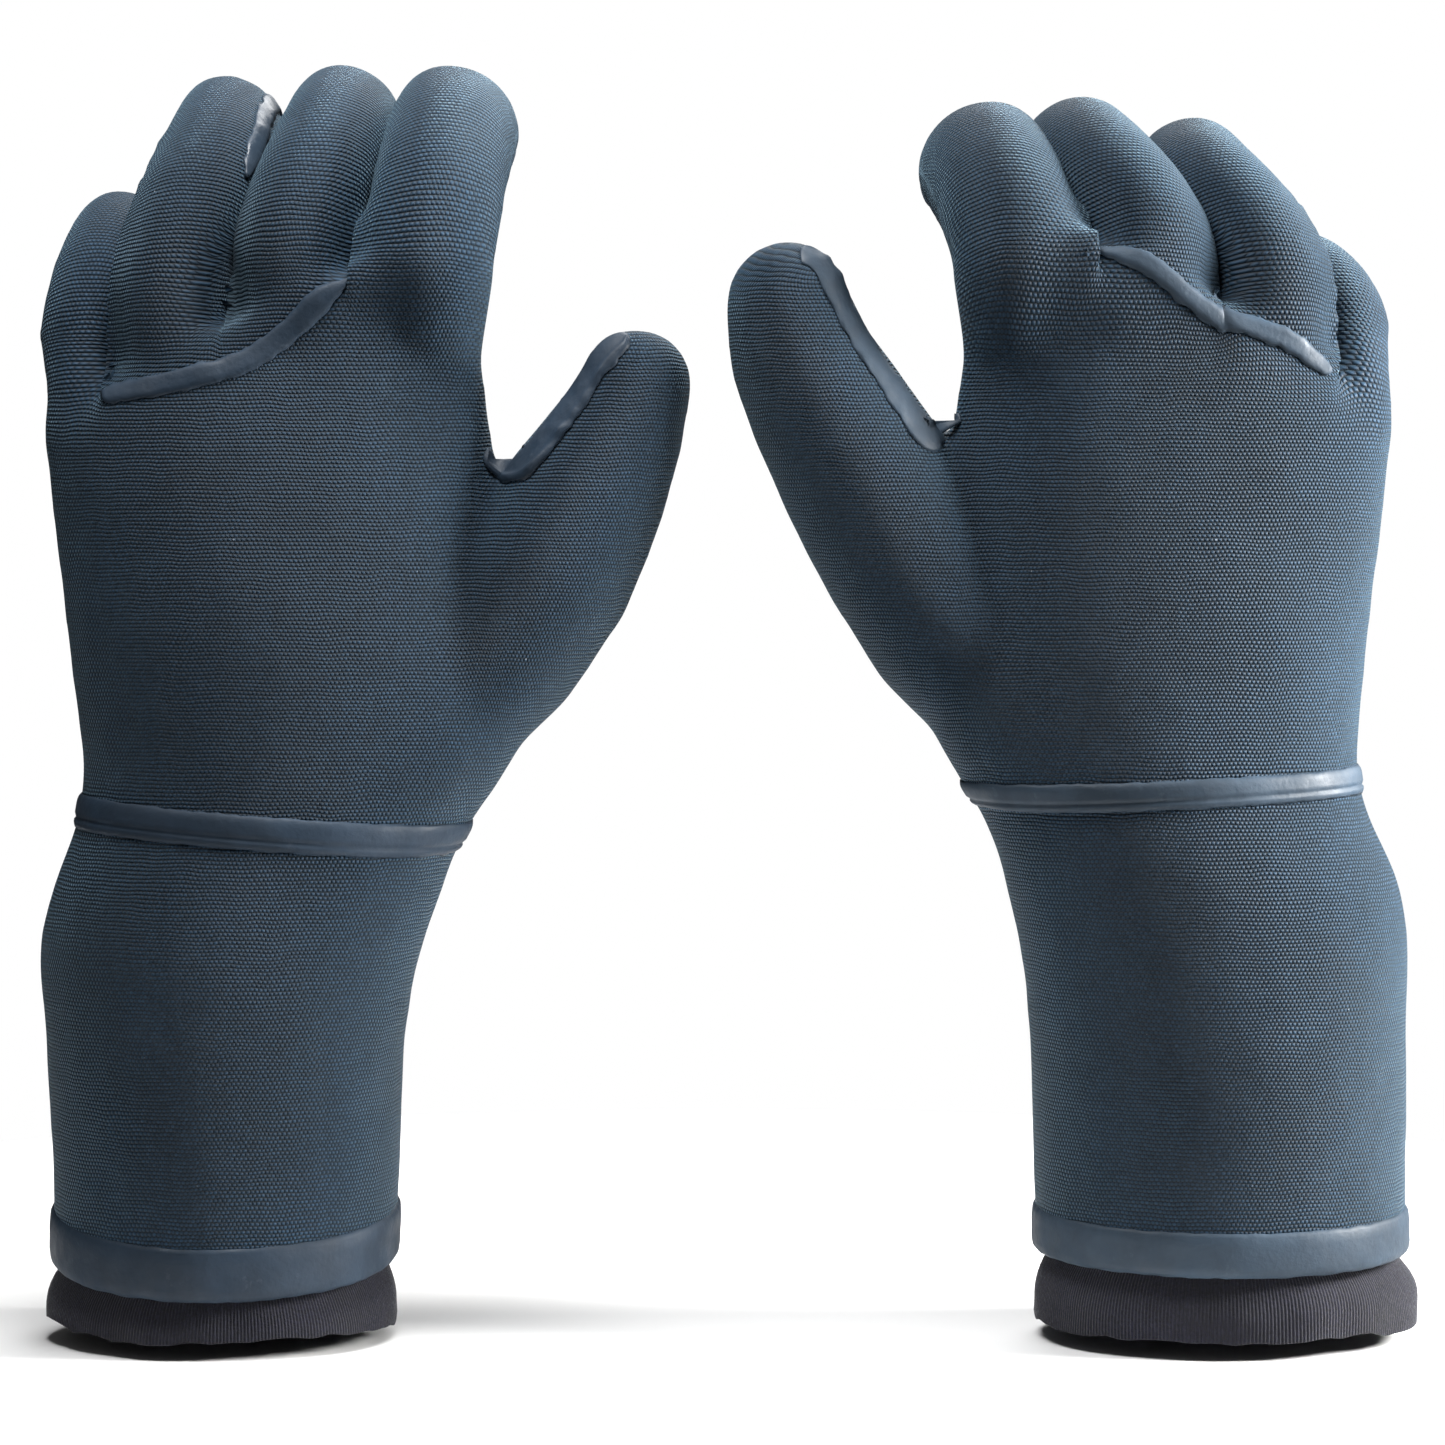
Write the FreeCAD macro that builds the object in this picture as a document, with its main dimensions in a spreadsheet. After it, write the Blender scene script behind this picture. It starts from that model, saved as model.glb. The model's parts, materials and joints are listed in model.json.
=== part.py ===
import FreeCAD, Part
import math
import os

# A pair of long-cuff, five-finger neoprene sailing gloves, standing on their cuffs with the fingers up.
# Each glove is a hand of foam neoprene panels (back, palm, two panels a finger and two for the thumb), a
# long cuff, a thin knitted liner that shows below the cuff, and rubber seam tapes over the glued seams.
# +Z is up, the backs of both hands face -Y, and the origin is on the floor, midway between the gloves.
# A glove is laid out about its own cuff: "in" is towards its thumb, which is +X on the left glove and -X
# on the right. All lengths are millimetres and all angles degrees.

FINGERS = ("index", "middle", "ring", "little")
GLOVES = {"left": 1, "right": -1}  # the sign of "in"

GENERAL = {
    "wall": 2.8,  # neoprene with its knitted faces
    "liner_wall": 1.2,
    "liner_gap": 1.2,  # between the cuff's inside and the liner
    "tape_thickness": 0.6,
    "glove_offset": 112.0,  # from the middle of the pair to the line that each glove is laid out about
    "depth_shift": -11.63,  # puts the origin at the middle of the pair's depth, curled fingers and all
    "liner_top": 70.0,
    "end_tape_height": 10.0,
    "wrist_tape_bottom": 112.0,
    "wrist_tape_top": 119.5,
    "flex_drop": 13.2,  # soft neoprene between a finger's hinge and the rim of the hand
    "hinge_gap": 0.3,  # a finger's own shell starts this far past its hinge
    "thumb_drop": 11.5,
    "seam_tape_half": 3.0,  # half the width of a finger's seam tape
    "base_tape_half": 2.4,
}

# Sections of the cuff and hand: height, how far in the centre is, half width, half depth.
STATIONS = {
    "cuff_low": (45.0, -3.0, 41.0, 34.0),
    "cuff_mid": (70.0, -2.8, 41.5, 34.0),
    "cuff_bulge": (90.0, -1.8, 43.7, 34.0),
    "cuff_top": (105.0, 2.0, 44.0, 32.0),
    "cuff_seam": (120.0, 8.0, 45.0, 29.5),
    "neck": (128.0, 11.5, 46.5, 28.5),
    "heel": (136.0, 14.5, 49.0, 28.0),
    "palm_low": (150.0, 15.5, 52.0, 27.5),
    "palm_mid": (172.0, 13.0, 53.0, 25.5),
    "palm_high": (200.0, 8.5, 51.5, 21.0),
    "web": (222.0, 6.0, 51.0, 16.5),
    "finger_base": (244.0, 7.5, 50.5, 13.5),
}
CUFF_STATIONS = ("cuff_low", "cuff_mid", "cuff_bulge", "cuff_top", "cuff_seam")
WRIST_STATIONS = ("cuff_seam", "neck", "heel")
HAND_STATIONS = ("heel", "palm_low", "palm_mid", "palm_high", "web", "finger_base")

# The cuff's rim dips towards the back of the hand: its height at the middle and its tilt.
RIMS = {"left": (20.0, 9.0), "right": (22.0, 3.0)}

# Each finger: hinge's distance in, its depth and its height, the length of its centreline from the hinge
# to the middle of the round tip, the pitch towards the palm at the hinge and at the tip, how far in the
# tip leans, and the radius outside.
FINGER_SHAPES = {
    ("left", "index"): (44.0, 0.0, 248.0, 56.0, 10.0, 94.0, 6.5, 12.3),
    ("left", "middle"): (17.0, -2.0, 248.0, 60.0, 10.0, 99.0, 6.0, 12.2),
    ("left", "ring"): (-10.0, 1.0, 238.0, 60.0, 8.0, 84.0, 6.0, 12.0),
    ("left", "little"): (-34.8, 6.0, 229.0, 46.0, 14.0, 100.0, 1.6, 10.8),
    ("right", "index"): (44.0, 0.0, 248.0, 54.0, 26.0, 106.0, 6.5, 12.3),
    ("right", "middle"): (17.0, -2.0, 248.0, 58.0, 20.0, 104.0, 6.0, 12.2),
    ("right", "ring"): (-10.0, 1.0, 240.0, 58.0, 18.0, 96.0, 6.0, 12.0),
    ("right", "little"): (-34.8, 6.0, 231.0, 44.0, 36.0, 112.0, 1.6, 10.8),
}
FINGER_VALUES = ("centre", "depth", "height", "length", "pitch_base", "pitch_tip", "lean", "radius")

# Each thumb: hinge's distance in and height, its length to the middle of the round tip, its tilt away from
# the fingers, and the radius outside at the hinge and at the tip.
THUMB_SHAPES = {
    "left": (65.5, 166.0, 61.0, 24.0, 17.5, 12.3),
    "right": (68.0, 171.5, 74.0, 24.0, 17.5, 13.0),
}
THUMB_VALUES = ("centre", "height", "length", "tilt", "radius", "tip_radius")

doc = FreeCAD.newDocument("sailing_gloves")
sheet = doc.addObject("Spreadsheet::Sheet", "dims")
parts = []  # the finished sub-parts, in the order they are made


def fill_sheet():
    """Puts every driving dimension in the sheet, one row each, under its alias."""
    rows = dict(GENERAL)
    for name, values in STATIONS.items():
        for quantity, value in zip(("height", "centre", "half_width", "half_depth"), values):
            rows[f"{name}_{quantity}"] = value
    for side, (height, tilt) in RIMS.items():
        rows[f"{side}_rim_height"] = height
        rows[f"{side}_rim_tilt"] = tilt
    for (side, finger), values in FINGER_SHAPES.items():
        for quantity, value in zip(FINGER_VALUES, values):
            rows[f"{side}_{finger}_{quantity}"] = value
    for side, values in THUMB_SHAPES.items():
        for quantity, value in zip(THUMB_VALUES, values):
            rows[f"{side}_thumb_{quantity}"] = value
    for row, (alias, value) in enumerate(rows.items(), start=1):
        sheet.set(f"A{row}", alias)
        sheet.set(f"B{row}", str(value))
        sheet.setAlias(f"B{row}", alias)
    doc.recompute()


def dim(alias):
    """A driving dimension's value."""
    return float(getattr(sheet, alias))


def bind(feature, **expressions):
    """Binds properties of a feature to expressions on the sheet. In a name, __ stands for a dot."""
    for name, expression in expressions.items():
        feature.setExpression(name.replace("__", "."), expression)
    return feature


def combine(kind, name, *features):
    """A Part::Cut, Part::Common or Part::MultiFuse of features."""
    made = doc.addObject(kind, name)
    if kind == "Part::MultiFuse":
        made.Shapes = list(features)
    else:
        made.Base, made.Tool = features
    return made


def loft(name, sections):
    made = doc.addObject("Part::Loft", name)
    made.Sections = sections
    made.Solid = True
    made.Ruled = False
    return made


def box(name, corner, size, rotation=FreeCAD.Rotation()):
    made = doc.addObject("Part::Box", name)
    made.Length, made.Width, made.Height = size
    made.Placement = FreeCAD.Placement(FreeCAD.Vector(*corner), rotation)
    return made


def keep(label, feature):
    """Names a finished sub-part after the piece that it is."""
    feature.Label = label
    parts.append(feature)
    return feature


# ---------------------------------------------------------------- the cuff and hand

OFFSETS = {
    "outside": "",
    "inside": " - dims.wall",
    "taped": " + dims.tape_thickness",
    "liner": " - dims.wall - dims.liner_gap",
    "liner_inside": " - dims.wall - dims.liner_gap - dims.liner_wall",
}


def oval(side, name, station, surface, height=None, tilt=None):
    """An oval section of the cuff or hand at a station, on the surface that OFFSETS names."""
    made = doc.addObject("Part::Ellipse", f"{side}_{name}")
    sign = "" if GLOVES[side] > 0 else "-"
    bind(
        made,
        MajorRadius=f"dims.{station}_half_width{OFFSETS[surface]}",
        MinorRadius=f"dims.{station}_half_depth{OFFSETS[surface]}",
        Placement__Base__x=f"{sign}(dims.{station}_centre - dims.glove_offset)",
        Placement__Base__y="dims.depth_shift",
        Placement__Base__z=height or f"dims.{station}_height",
    )
    # The seam of the loft faces away from the thumb, clear of the forms that join the hand there.
    seam = FreeCAD.Rotation(FreeCAD.Vector(0, 0, 1), 90 + 90 * GLOVES[side])
    lean = FreeCAD.Rotation(FreeCAD.Vector(1, 0, 0), dim(tilt) if tilt else 0)
    made.Placement.Rotation = lean * seam
    return made


def tube(side, name, stations, surface, below=0.0, above=0.0):
    """A loft through stations. Its ends go past the first and last station by below and above."""
    ovals = []
    for n, station in enumerate(stations):
        past = below * (n == 0) - above * (n == len(stations) - 1)
        height = f"dims.{station}_height - {past}"
        ovals.append(oval(side, f"{name}_{station}", station, surface, height))
    return loft(f"{side}_{name}", ovals)


def cuff_body(side, name, surface, past_rim=0.0):
    """The cuff's form from its tilted rim to the wrist seam."""
    rim_height = f"dims.{side}_rim_height - {past_rim}"
    heights = {station: f"dims.{station}_height" for station in CUFF_STATIONS}
    heights[CUFF_STATIONS[-1]] += f" + {past_rim}"
    rim = oval(side, f"{name}_rim", "cuff_low", surface, rim_height, f"{side}_rim_tilt")
    ovals = [rim] + [
        oval(side, f"{name}_{station}", station, surface, heights[station])
        for station in CUFF_STATIONS
    ]
    return loft(f"{side}_{name}", ovals)


def slab(side, name, low, high, tilt=0.0):
    """A wide flat block between two heights at the cuff's axis, tilted like the cuff's rim."""
    reach = 160.0
    turn = FreeCAD.Rotation(FreeCAD.Vector(1, 0, 0), tilt)
    centre = FreeCAD.Vector(-GLOVES[side] * dim("glove_offset"), dim("depth_shift"), low)
    corner = centre + turn.multVec(FreeCAD.Vector(-reach / 2, -reach / 2, 0))
    return box(f"{side}_{name}", corner, (reach, reach, high - low), turn)


def make_cuff(side):
    outside = cuff_body(side, "cuff_outside", "outside")
    inside = cuff_body(side, "cuff_inside", "inside", past_rim=3.0)
    keep(f"{side}_cuff_panel", combine("Part::Cut", f"{side}_cuff", outside, inside))
    taped = cuff_body(side, "cuff_taped", "taped", past_rim=0.0)
    skin = combine("Part::Cut", f"{side}_cuff_skin", taped, outside)
    rim, tilt = dim(f"{side}_rim_height"), dim(f"{side}_rim_tilt")
    end = slab(side, "end_tape_slab", rim, rim + dim("end_tape_height"), tilt)
    keep(f"{side}_cuff_end_tape", combine("Part::Common", f"{side}_end_tape", skin, end))
    wrist = slab(side, "wrist_tape_slab", dim("wrist_tape_bottom"), dim("wrist_tape_top"))
    keep(f"{side}_wrist_seam_tape", combine("Part::Common", f"{side}_wrist_tape", skin, wrist))


def make_liner(side):
    """The knitted liner: a plain tube inside the cuff that shows below the rim."""
    forms = []
    for surface, past in (("liner", 0.0), ("liner_inside", 2.0)):
        stations = (
            ("foot", "cuff_low", f"-{past}"),
            ("middle", "cuff_low", "45"),
            ("top", "cuff_mid", f"dims.liner_top + {past}"),
        )
        ovals = [
            oval(side, f"{surface}_{name}", station, surface, height) for name, station, height in stations
        ]
        forms.append(loft(f"{side}_{surface}", ovals))
    keep(f"{side}_cuff_liner", combine("Part::Cut", f"{side}_liner_tube", *forms))


def make_wrist(side):
    """The soft neoprene that bends between the cuff and the hand."""
    outside = tube(side, "wrist_outside", WRIST_STATIONS, "outside")
    inside = tube(side, "wrist_inside", WRIST_STATIONS, "inside", below=1.0, above=1.0)
    keep(f"{side}_wrist_flex_panel", combine("Part::Cut", f"{side}_wrist", outside, inside))


def thumb_frame(side):
    """The thumb's hinge point and the rotation that turns +Z along the thumb, and +X across it."""
    sign = GLOVES[side]
    across = sign * (dim(f"{side}_thumb_centre") - dim("glove_offset"))
    hinge = FreeCAD.Vector(across, dim("depth_shift"), dim(f"{side}_thumb_height"))
    return hinge, FreeCAD.Rotation(FreeCAD.Vector(0, 1, 0), sign * dim(f"{side}_thumb_tilt"))


def ring_at(name, centre, rotation, radius):
    """A circle with its radius bound to an expression. Its seam is turned clear of the panels' seams."""
    made = doc.addObject("Part::Circle", name)
    made.Placement = FreeCAD.Placement(centre, rotation * FreeCAD.Rotation(FreeCAD.Vector(0, 0, 1), 52))
    return bind(made, Radius=radius)


def dome_at(name, centre, rotation, radius, tip=True):
    """The half of a ball that closes a tube: its tip, or with tip=False the rounded heel below it."""
    made = doc.addObject("Part::Sphere", name)
    made.Angle1, made.Angle2 = (0, 90) if tip else (-90, 0)
    made.Placement = FreeCAD.Placement(centre, rotation * FreeCAD.Rotation(FreeCAD.Vector(0, 0, 1), 52))
    return bind(made, Radius=radius)


def thumb_root(side, surface, past=0.0):
    """The round heel of the thumb on the side of the hand, up to where the thumb's soft part starts."""
    hinge, turn = thumb_frame(side)
    mouth = hinge + turn.multVec(FreeCAD.Vector(0, 0, -dim("thumb_drop")))
    radius = f"dims.{side}_thumb_radius{OFFSETS[surface]}"
    heel = dome_at(f"{side}_thumb_heel_{surface}", mouth, turn, radius, tip=False)
    if not past:
        return [heel]
    rise = doc.addObject("Part::Cylinder", f"{side}_thumb_mouth_{surface}")
    rise.Height = past + 1
    rise.Placement = FreeCAD.Placement(mouth - turn.multVec(FreeCAD.Vector(0, 0, 1)), heel.Placement.Rotation)
    return [heel, bind(rise, Radius=radius)]


def step_cutters(side):
    """Blocks that take the hand's rim down to where each finger's soft part starts."""
    sign = GLOVES[side]
    inner = (dim(f"{side}_middle_centre") + dim(f"{side}_ring_centre")) / 2
    outer = (dim(f"{side}_ring_centre") + dim(f"{side}_little_centre")) / 2
    spans = {"index": (inner, 90.0), "ring": (outer, inner), "little": (-80.0, outer)}
    blocks = []
    for finger, (low, high) in spans.items():
        rim = dim(f"{side}_{finger}_height") - dim("flex_drop")
        ends = sorted(sign * (x - dim("glove_offset")) for x in (low, high))
        blocks.append(box(f"{side}_{finger}_step", (ends[0], -60, rim), (ends[1] - ends[0], 120, 60)))
    return blocks


def thumb_slot(side):
    """A block that clears the thumb's swing out of the side of the hand."""
    hinge, turn = thumb_frame(side)
    half = dim(f"{side}_thumb_radius") + 0.9
    corner = hinge + turn.multVec(FreeCAD.Vector(-half, -60, -dim("thumb_drop")))
    return box(f"{side}_thumb_slot", corner, (2 * half, 120, 95), turn)


def make_hand(side):
    forms = []
    for surface, past in (("outside", 0.0), ("inside", 2.0)):
        body = tube(side, f"hand_{surface}", HAND_STATIONS, surface, below=past)
        root = thumb_root(side, surface, past)
        forms.append(combine("Part::MultiFuse", f"{side}_hand_{surface}_form", body, *root))
    shell = combine("Part::Cut", f"{side}_hand_tube", *forms)
    cutters = combine("Part::MultiFuse", f"{side}_hand_cutters", *step_cutters(side), thumb_slot(side))
    trimmed = combine("Part::Cut", f"{side}_hand_shell", shell, cutters)
    front = box(f"{side}_front_half", (-250, dim("depth_shift") - 100, 100), (500, 100, 200))
    keep(f"{side}_hand_back_panel", combine("Part::Common", f"{side}_hand_back", trimmed, front))
    keep(f"{side}_palm_panel", combine("Part::Cut", f"{side}_palm", trimmed, front))
    taped = tube(side, "hand_taped", HAND_STATIONS, "taped", below=-1.0)
    body = tube(side, "hand_under_tape", HAND_STATIONS, "outside")
    skin = combine("Part::Cut", f"{side}_hand_skin", taped, body)
    band = base_tape_band(side)
    keep(f"{side}_finger_base_seam_tape", combine("Part::Common", f"{side}_base_tape", skin, band))


def base_tape_band(side):
    """A curved band across the back of the hand, under the middle and ring fingers."""
    sign = GLOVES[side]
    rims = {f: dim(f"{side}_{f}_height") - dim("flex_drop") for f in ("middle", "ring", "little")}
    points = (
        (dim(f"{side}_middle_centre") + 3.0, rims["middle"] - 4.0),
        (dim(f"{side}_ring_centre") + 3.0, rims["little"] + 1.0),
        (dim(f"{side}_little_centre") + 9.0, rims["little"] - 4.0),
    )
    edges = []
    for shift in (dim("base_tape_half"), -dim("base_tape_half")):
        edges.append(
            [FreeCAD.Vector(sign * (x - dim("glove_offset")), -80, z + shift) for x, z in points]
        )
    top, bottom = (Part.Arc(*edge).toShape() for edge in edges)
    ends = [Part.makeLine(edges[0][n], edges[1][n]) for n in (0, 2)]
    outline = doc.addObject("Part::Feature", f"{side}_base_tape_outline")
    outline.Shape = Part.Face(Part.Wire(Part.__sortEdges__([top, ends[0], bottom, ends[1]])))
    band = doc.addObject("Part::Extrusion", f"{side}_base_tape_band")
    band.Base = outline
    band.DirMode = "Custom"
    band.Dir = FreeCAD.Vector(0, 1, 0)
    band.LengthFwd = 60
    band.Solid = True
    return band


# ---------------------------------------------------------------- the fingers


class Finger:
    """A finger's centreline, whose pitch grows evenly from the hinge to the tip."""

    def __init__(self, side, name):
        self.side, self.name, self.sign = side, name, GLOVES[side]
        value = {q: dim(f"{side}_{name}_{q}") for q in FINGER_VALUES}
        self.length, self.radius, self.lean = value["length"], value["radius"], value["lean"]
        across = self.sign * (value["centre"] - dim("glove_offset"))
        self.start = FreeCAD.Vector(across, value["depth"] + dim("depth_shift"), value["height"])
        self.pitch_base = math.radians(value["pitch_base"])
        self.bend = math.radians(value["pitch_tip"] - value["pitch_base"])

    def pitch(self, along):
        return self.pitch_base + self.bend * min(1.0, max(0.0, along / self.length))

    def point(self, along):
        """The centreline's point: an arc between hinge and tip, and straight past either end."""
        inner = min(self.length, max(0.0, along))
        radius = self.length / self.bend
        pitch = self.pitch(inner)
        y = radius * (math.cos(self.pitch_base) - math.cos(pitch))
        z = radius * (math.sin(pitch) - math.sin(self.pitch_base))
        past = along - inner
        x = self.sign * self.lean * along / self.length
        return self.start + FreeCAD.Vector(x, y + past * math.sin(pitch), z + past * math.cos(pitch))

    def turn(self, along):
        return FreeCAD.Rotation(FreeCAD.Vector(1, 0, 0), -math.degrees(self.pitch(along)))

    def form(self, surface, first):
        """The finger's round form out to a surface, from a distance along the centreline."""
        tag = f"{self.side}_{self.name}_{surface}"
        radius = f"dims.{self.side}_{self.name}_radius{OFFSETS[surface]}"
        stops = [first] + [self.length * share for share in (0.2, 0.4, 0.6, 0.8, 1.0)]
        rings = [
            ring_at(f"{tag}_{n}", self.point(along), self.turn(along), radius)
            for n, along in enumerate(stops)
        ]
        dome = dome_at(f"{tag}_tip", self.point(self.length), self.turn(self.length), radius)
        return combine("Part::MultiFuse", f"{tag}_form", loft(f"{tag}_loft", rings), dome)

    def strip(self, name, low, high):
        """A sheet that follows the centreline, from low to high on its palm side, as wide as the finger."""
        last = self.length + self.radius + 4.0
        stops = [-4.0, 0.0] + [self.length * share for share in (0.25, 0.5, 0.75, 1.0)] + [last]
        sides = []
        for shift in (low, high):
            sides.append([self.point(s) + self.turn(s).multVec(FreeCAD.Vector(0, shift, 0)) for s in stops])
        for line in sides:
            for point in line:
                point.x = self.start.x - 40
        curves = []
        for line in sides:
            curve = Part.BSplineCurve()
            curve.interpolate(line)
            curves.append(curve.toShape())
        ends = [Part.makeLine(sides[0][n], sides[1][n]) for n in (0, -1)]
        outline = doc.addObject("Part::Feature", f"{self.side}_{self.name}_{name}_outline")
        outline.Shape = Part.Face(Part.Wire(Part.__sortEdges__([curves[0], ends[0], curves[1], ends[1]])))
        strip = doc.addObject("Part::Extrusion", f"{self.side}_{self.name}_{name}")
        strip.Base = outline
        strip.DirMode = "Custom"
        strip.Dir = FreeCAD.Vector(1, 0, 0)
        strip.LengthFwd = 80
        strip.Solid = True
        return strip


def make_finger(side, name):
    finger = Finger(side, name)
    label = f"{side}_{name}"
    start = dim("hinge_gap")
    outside = finger.form("outside", start)
    shell = combine("Part::Cut", f"{label}_shell", outside, finger.form("inside", -2.0))
    # A little behind the centreline, so that the split misses the pole of the round tip.
    palm_side = finger.strip("palm_side", 0.4, finger.radius + 3.0)
    keep(f"{label}_back_panel", combine("Part::Cut", f"{label}_back", shell, palm_side))
    keep(f"{label}_palm_panel", combine("Part::Common", f"{label}_palm", shell, palm_side))
    skin = combine("Part::Cut", f"{label}_skin", finger.form("taped", start + 1.0), outside)
    half = dim("seam_tape_half")
    band = finger.strip("tape_band", -half, half)
    keep(f"{label}_seam_tape", combine("Part::Common", f"{label}_tape", skin, band))
    make_knuckle(finger)


def make_knuckle(finger):
    """The soft neoprene that bends between the hand's rim and the finger's own shell."""
    label = f"{finger.side}_{finger.name}"
    drop = dim("flex_drop")
    back = FreeCAD.Vector(0, -0.55 * drop * math.sin(finger.pitch_base), -drop)
    rim = finger.start + back
    top = finger.start
    forms = []
    for surface, past in (("outside", 0.0), ("inside", 1.0)):
        radius = f"dims.{label}_radius{OFFSETS[surface]}"
        down = FreeCAD.Vector(0, 0, -past)
        up = finger.turn(0).multVec(FreeCAD.Vector(0, 0, past))
        low = ring_at(f"{label}_knuckle_low_{surface}", rim + down, FreeCAD.Rotation(), radius)
        high = ring_at(f"{label}_knuckle_high_{surface}", top + up, finger.turn(0), radius)
        forms.append(loft(f"{label}_knuckle_{surface}", [low, high]))
    keep(f"{label}_knuckle_flex", combine("Part::Cut", f"{label}_knuckle", *forms))


# ---------------------------------------------------------------- the thumb


def thumb_form(side, surface, first):
    hinge, turn = thumb_frame(side)
    length = dim(f"{side}_thumb_length")
    tag = f"{side}_thumb_{surface}"
    offset = OFFSETS[surface]

    def at(along):
        return hinge + turn.multVec(FreeCAD.Vector(0, 0, along))

    rings = [
        ring_at(f"{tag}_base", at(first), turn, f"dims.{side}_thumb_radius{offset}"),
        ring_at(f"{tag}_middle", at(length * 0.5), turn, f"dims.{side}_thumb_radius - 1.6{offset}"),
        ring_at(f"{tag}_end", at(length), turn, f"dims.{side}_thumb_tip_radius{offset}"),
    ]
    dome = dome_at(f"{tag}_tip", at(length), turn, f"dims.{side}_thumb_tip_radius{offset}")
    return combine("Part::MultiFuse", f"{tag}_form", loft(f"{tag}_loft", rings), dome)


def make_thumb(side):
    hinge, turn = thumb_frame(side)
    start = dim("hinge_gap")
    outside = thumb_form(side, "outside", start)
    shell = combine("Part::Cut", f"{side}_thumb_shell", outside, thumb_form(side, "inside", -2.0))
    front = box(f"{side}_thumb_front_half", (-250, dim("depth_shift") - 100, 100), (500, 100, 200))
    keep(f"{side}_thumb_back_panel", combine("Part::Common", f"{side}_thumb_back", shell, front))
    keep(f"{side}_thumb_palm_panel", combine("Part::Cut", f"{side}_thumb_palm", shell, front))
    skin = combine("Part::Cut", f"{side}_thumb_skin", thumb_form(side, "taped", start + 1.0), outside)
    half = dim("seam_tape_half")
    # The tape runs up the side that faces the index finger and ends over the tip.
    low = -40.0 if GLOVES[side] > 0 else -2.0
    corner = hinge + turn.multVec(FreeCAD.Vector(low, -half, -5))
    band = box(f"{side}_thumb_tape_band", corner, (42, 2 * half, 110), turn)
    keep(f"{side}_thumb_seam_tape", combine("Part::Common", f"{side}_thumb_tape", skin, band))
    forms = []
    for surface, past in (("outside", 0.0), ("inside", 1.0)):
        radius = f"dims.{side}_thumb_radius{OFFSETS[surface]}"
        ends = (-dim("thumb_drop") - past, start + past)
        centres = [hinge + turn.multVec(FreeCAD.Vector(0, 0, along)) for along in ends]
        rings = [
            ring_at(f"{side}_thumb_flex_{surface}_{n}", centre, turn, radius)
            for n, centre in enumerate(centres)
        ]
        forms.append(loft(f"{side}_thumb_flex_{surface}", rings))
    keep(f"{side}_thumb_flex", combine("Part::Cut", f"{side}_thumb_flex_ring", *forms))


def check_and_write():
    """Stops on a failed feature or a bad shape, and writes each sub-part to its own file."""
    doc.recompute()
    failed = [o.Name for o in doc.Objects if "Invalid" in o.State or "Error" in o.State]
    if failed:
        raise SystemExit(f"failed features: {failed}")
    os.makedirs("parts", exist_ok=True)
    for part in parts:
        shape = part.Shape
        if shape.isNull() or not shape.isValid() or not shape.Solids:
            raise SystemExit(f"{part.Label} has no valid solid")
        print(f"{part.Label:32s} {len(shape.Solids)} solid(s) {shape.Volume / 1000:8.2f} cm3")
        Part.makeCompound(shape.Solids).exportStep(f"parts/{part.Label}.step")
    print(len(parts), "sub-parts")


fill_sheet()
for side in GLOVES:
    make_cuff(side)
    make_liner(side)
    make_wrist(side)
    make_hand(side)
    for name in FINGERS:
        make_finger(side, name)
    make_thumb(side)
check_and_write()
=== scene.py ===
# %% [markdown]
# # A pair of neoprene sailing gloves
# Long-cuff gloves like these are cut from foam neoprene sheet with a knitted face, glued edge to edge, and
# sealed with liquid rubber tape along the seams. They are moulded slightly curled, so they keep the shape of
# a relaxed hand. This lesson builds each glove flat and open, the way its pattern is cut, and then curls it.
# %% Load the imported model
import json
import math

import bmesh
import bpy
import numpy as np
from mathutils import Matrix, Vector, noise
from mathutils.bvhtree import BVHTree


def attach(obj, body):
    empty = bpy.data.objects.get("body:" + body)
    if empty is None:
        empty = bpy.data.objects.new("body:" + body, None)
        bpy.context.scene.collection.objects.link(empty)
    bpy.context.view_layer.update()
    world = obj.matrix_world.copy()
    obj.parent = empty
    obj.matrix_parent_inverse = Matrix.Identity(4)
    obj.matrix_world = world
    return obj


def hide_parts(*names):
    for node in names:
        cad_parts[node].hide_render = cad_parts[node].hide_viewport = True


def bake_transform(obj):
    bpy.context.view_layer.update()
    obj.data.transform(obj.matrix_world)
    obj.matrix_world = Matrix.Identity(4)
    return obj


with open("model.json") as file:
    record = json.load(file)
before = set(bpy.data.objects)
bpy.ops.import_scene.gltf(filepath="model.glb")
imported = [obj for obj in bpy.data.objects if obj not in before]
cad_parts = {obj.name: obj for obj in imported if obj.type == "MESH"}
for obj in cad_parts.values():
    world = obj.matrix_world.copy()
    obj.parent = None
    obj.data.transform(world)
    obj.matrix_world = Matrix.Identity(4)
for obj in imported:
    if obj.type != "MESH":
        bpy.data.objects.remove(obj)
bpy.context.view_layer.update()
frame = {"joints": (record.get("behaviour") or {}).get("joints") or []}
hinges = {j["name"]: Vector(j["pos_m"]) * 1000 for j in frame["joints"] if j["type"] == "hinge"}

# %% [markdown]
# ## Where things are
# A glove is easiest to think about from its own middle line. Here "inward" runs towards the thumb, which is
# +X on the left glove and -X on the right, so one set of steps makes both. Lengths are millimetres until a
# piece is finished, because that is how a glove pattern is drawn; the last step turns them into metres.
# %% Layout of the two gloves
MM = 0.001
LAYOUT = 112.0  # from the middle of the pair to each glove's own middle line
DEPTH = hinges["left_wrist_bend"].y  # the depth of both gloves' middle planes
SIGN = {"left": 1, "right": -1}
VOXEL = 1.5
WALL = 2.6  # foam neoprene with a knitted face on each side


def to_world(points, side):
    """Glove millimetres (inward, depth, height) to metres in the frame."""
    out = np.array(points, float)
    out[:, 0] = SIGN[side] * (out[:, 0] - LAYOUT)
    out[:, 1] += DEPTH
    return out * MM


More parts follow.
